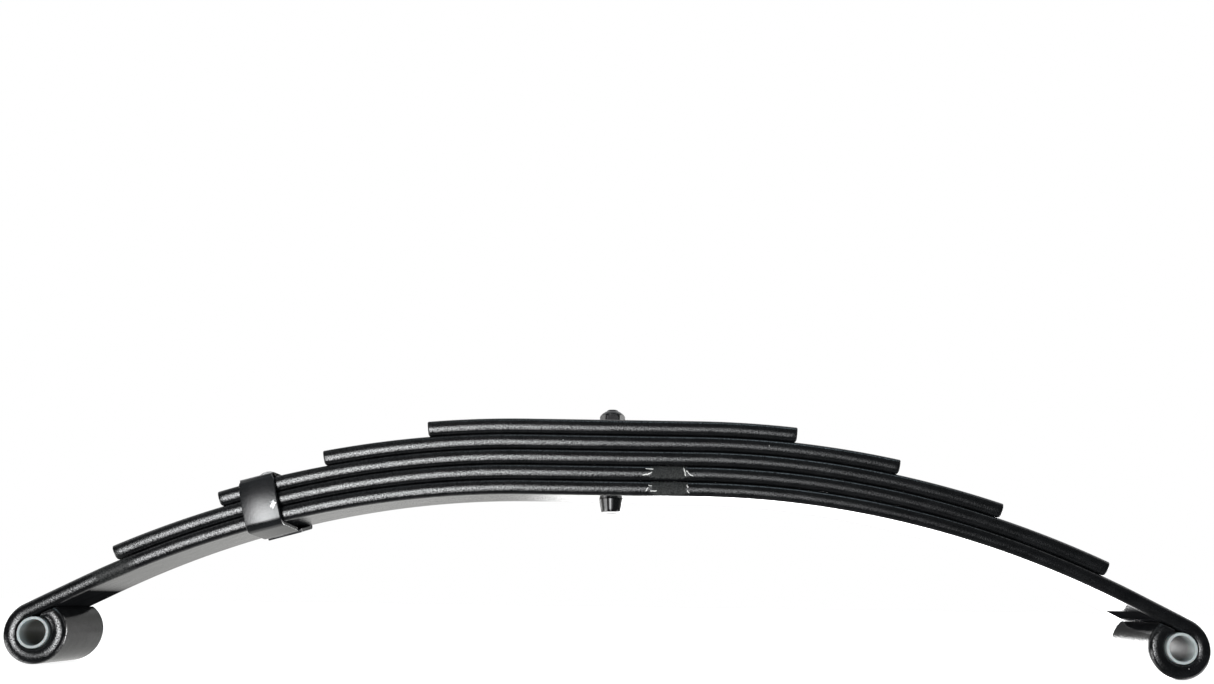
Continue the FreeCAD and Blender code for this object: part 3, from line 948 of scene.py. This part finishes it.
def white_floor():
    """A large pale floor under the eyes."""
    bottom = cad_bounds[0].z
    reach = FLOOR_REACH
    corners = [(-reach, -reach), (reach, -reach), (reach, reach), (-reach, reach)]
    bm = bmesh.new()
    bm.faces.new([bm.verts.new((x, y, bottom - FLOOR_GAP)) for x, y in corners])
    floor = add_object("floor", bm, smooth=False)
    material = bpy.data.materials.new("floor_white")
    material.use_nodes = True
    surface = material.node_tree.nodes["Principled BSDF"]
    surface.inputs["Base Color"].default_value = (0.5, 0.5, 0.5, 1)
    surface.inputs["Roughness"].default_value = 0.9
    surface.inputs["Specular IOR Level"].default_value = 0.0
    surface.inputs["Emission Color"].default_value = (1, 1, 1, 1)
    surface.inputs["Emission Strength"].default_value = 0.9
    finish_with(floor, material)
    floor.visible_glossy = False
    floor.visible_shadow = False
    return floor


class Sky:
    """The studio around the object, as light that depends only on direction."""

    def __init__(self):
        world = bpy.data.worlds.new("studio")
        bpy.context.scene.world = world
        world.use_nodes = True
        self.tree = world.node_tree
        self.tree.nodes.clear()
        coordinates = self.tree.nodes.new("ShaderNodeTexCoord")
        split = self.tree.nodes.new("ShaderNodeSeparateXYZ")
        self.tree.links.new(coordinates.outputs["Generated"], split.inputs[0])
        self.x, self.y, self.z = split.outputs

    def step(self, value, low, high, start=0.0, end=1.0):
        return smooth_step(self.tree, value, low, high, start, end)

    def times(self, *factors):
        product = factors[0]
        for factor in factors[1:]:
            node = self.tree.nodes.new("ShaderNodeMath")
            node.operation = "MULTIPLY"
            self.tree.links.new(product, node.inputs[0])
            self.tree.links.new(factor, node.inputs[1])
            product = node.outputs[0]
        return product

    def slanted(self, value, other, share):
        """value plus a share of another direction coordinate."""
        node = self.tree.nodes.new("ShaderNodeMath")
        node.operation = "MULTIPLY_ADD"
        self.tree.links.new(other, node.inputs[0])
        node.inputs[1].default_value = share
        self.tree.links.new(value, node.inputs[2])
        return node.outputs[0]

    def glow(self, share, colour, strength):
        """A background shader of that colour, as strong as share says."""
        node = self.tree.nodes.new("ShaderNodeBackground")
        node.inputs["Color"].default_value = (*colour, 1)
        scaled = self.tree.nodes.new("ShaderNodeMath")
        scaled.operation = "MULTIPLY"
        scaled.inputs[1].default_value = strength
        self.tree.links.new(share, scaled.inputs[0])
        self.tree.links.new(scaled.outputs[0], node.inputs["Strength"])
        return node.outputs[0]

    def plain(self, colour, strength):
        node = self.tree.nodes.new("ShaderNodeBackground")
        node.inputs["Color"].default_value = (*colour, 1)
        node.inputs["Strength"].default_value = strength
        return node.outputs[0]

    def add(self, first, second):
        node = self.tree.nodes.new("ShaderNodeAddShader")
        self.tree.links.new(first, node.inputs[0])
        self.tree.links.new(second, node.inputs[1])
        return node.outputs[0]

    def show(self, light, seen):
        """light falls on the object, and seen is what the camera looks at behind it."""
        path = self.tree.nodes.new("ShaderNodeLightPath")
        mix = self.tree.nodes.new("ShaderNodeMixShader")
        output = self.tree.nodes.new("ShaderNodeOutputWorld")
        self.tree.links.new(path.outputs["Is Camera Ray"], mix.inputs[0])
        self.tree.links.new(light, mix.inputs[1])
        self.tree.links.new(seen, mix.inputs[2])
        self.tree.links.new(mix.outputs[0], output.inputs["Surface"])


def studio_light():
    """Soft panels in front on the left, pale light low behind, a cool ceiling, and small lights beside."""
    sky = Sky()
    front = sky.step(sky.y, -0.35, -0.1, 1.0, 0.0)
    back = sky.step(sky.y, 0.0, 0.3)
    lower_edge = sky.step(sky.slanted(sky.z, sky.x, 0.9), -0.64, -0.42)
    tall = sky.times(lower_edge, sky.step(sky.z, 0.04, 0.33, 1.0, 0.0))
    narrow = sky.times(sky.step(sky.z, -0.32, -0.06), sky.step(sky.z, 0.0, 0.28, 1.0, 0.0))
    left_end = sky.step(sky.x, -0.54, -0.33)
    bright = sky.step(sky.x, -0.24, 0.04, 1.0, 0.0)
    tail = sky.step(sky.x, -0.02, 0.35, 1.0, 0.0)
    below = sky.times(back, sky.step(sky.z, -0.09, -0.03, 1.0, 0.0))
    beside = sky.times(
        back, sky.step(sky.z, -0.09, -0.03), sky.step(sky.z, 0.10, 0.75, 1.0, 0.0),
        sky.step(sky.y, 0.90, 0.93, 1.0, 0.0),
    )
    glare = sky.times(
        sky.step(sky.y, 0.94, 0.965), sky.step(sky.x, -0.09, -0.015),
        sky.step(sky.z, -0.09, -0.03, 1.0, 0.0),
    )
    rear = sky.times(
        sky.step(sky.y, 0.45, 0.55), sky.step(sky.y, 0.72, 0.82, 1.0, 0.0),
        sky.step(sky.z, -0.12, 0.08), sky.step(sky.z, 0.15, 0.32, 1.0, 0.0),
    )
    end_on = sky.times(sky.step(sky.y, -0.45, -0.25), sky.step(sky.y, 0.25, 0.45, 1.0, 0.0))
    end_low = sky.times(end_on, sky.step(sky.z, -0.9, -0.75), sky.step(sky.z, -0.35, -0.2, 1.0, 0.0))
    end_high = sky.times(end_on, sky.step(sky.z, 0.2, 0.35), sky.step(sky.z, 0.7, 0.9, 1.0, 0.0))
    far_left = sky.times(
        sky.step(sky.x, -0.76, -0.66, 1.0, 0.0), sky.step(sky.y, -0.2, 0.1, 1.0, 0.0),
        sky.step(sky.z, -0.7, -0.5), sky.step(sky.z, -0.22, -0.1, 1.0, 0.0),
    )
    sky_back = sky.times(sky.step(sky.y, 0.1, 0.4), sky.step(sky.z, 0.38, 0.62))
    high = sky.times(front, sky.step(sky.z, 0.25, 0.5), sky.step(sky.x, -0.2, 0.1, 1.0, 0.3))
    ceiling = sky.times(front, sky.step(sky.z, 0.72, 0.86), sky.step(sky.x, -0.35, 0.45, 0.1, 1.0))
    lights = (
        (sky.times(front, tall, bright, left_end), (0.985, 0.995, 1.0), 8.6),
        (sky.times(front, narrow, tail, left_end), (0.97, 0.985, 1.0), 5.4),
        (below, (1.0, 1.0, 0.975), 0.78),
        (beside, (1.0, 1.0, 0.975), 0.80),
        (glare, (1.0, 1.0, 1.0), 2.2),
        (rear, (1.0, 1.0, 1.0), 5.0),
        (sky_back, (0.96, 0.98, 1.0), 0.9),
        (end_low, (1.0, 1.0, 1.0), 2.0),
        (end_high, (1.0, 1.0, 1.0), 0.8),
        (far_left, (1.0, 1.0, 1.0), 4.0),
        (high, (0.95, 0.98, 1.0), 0.2),
        (ceiling, (0.72, 0.9, 1.0), 2.4),
        (sky.step(sky.z, 0.9, 0.98), (0.9, 0.96, 1.0), 0.4),
        (sky.step(sky.z, -0.8, -0.6, 1.0, 0.0), (1.0, 1.0, 1.0), 0.08),
    )
    total = sky.plain((1, 1, 1), 0.02)
    for share, colour, strength in lights:
        total = sky.add(total, sky.glow(share, colour, strength))
    sky.show(total, sky.plain((1, 1, 1), 1.0))


def back_panel():
    """A low soft panel close behind the right half, which the underside mirrors."""
    light = bpy.data.lights.new("back_panel", "AREA")
    light.shape = "RECTANGLE"
    light.size = PANEL_SIZE[0]
    light.size_y = PANEL_SIZE[1]
    light.energy = PANEL_GLOW * math.pi * light.size * light.size_y
    holder = bpy.data.objects.new("back_panel", light)
    bpy.context.scene.collection.objects.link(holder)
    holder.matrix_world = Matrix.Translation(PANEL_PLACE) @ Matrix.Rotation(-math.pi / 2, 4, "X")
    holder.visible_camera = False


def photograph_camera():
    camera = bpy.data.cameras.new("camera")
    camera.sensor_width = CAMERA_SENSOR
    camera.lens = CAMERA_LENS
    camera.shift_y = CAMERA_SHIFT_Y
    camera.clip_start = 0.01
    holder = bpy.data.objects.new("camera", camera)
    bpy.context.scene.collection.objects.link(holder)
    look = Matrix.Rotation(CAMERA_TURN, 4, "Z") @ Matrix.Rotation(CAMERA_PITCH, 4, "X")
    look = look @ Matrix.Rotation(CAMERA_ROLL, 4, "Y")
    upright = Matrix.Rotation(math.pi / 2, 4, "X")
    holder.matrix_world = Matrix.Translation(CAMERA_PLACE) @ look @ upright
    bpy.context.scene.camera = holder


# ---------------------------------------------------------------- assembly

photograph_camera()
white_floor()
studio_light()
back_panel()
bpy.context.scene.view_settings.view_transform = "Standard"

paint = leaf_paint()
for leaf_level, leaf_name in enumerate(LEAF_NAMES):
    for leaf_side in (-1, 1):
        finish_with(half_leaf(leaf_name, leaf_level, leaf_side), paint)
nylon = bush_nylon()
for bush_side in (-1, 1):
    finish_with(eye_bush(bush_side), nylon)
finish_with(centre_bolt(), fastener_paint("bolt_paint", 0.0, (0.03, 0.03, 0.03), 0.9))
finish_with(centre_nut(), fastener_paint("nut_paint", 0.14, (0.04, 0.04, 0.04), 0.3))
satin = clip_paint()
finish_with(rebound_clip(), satin)
finish_with(clip_rivet(), rivet_steel())
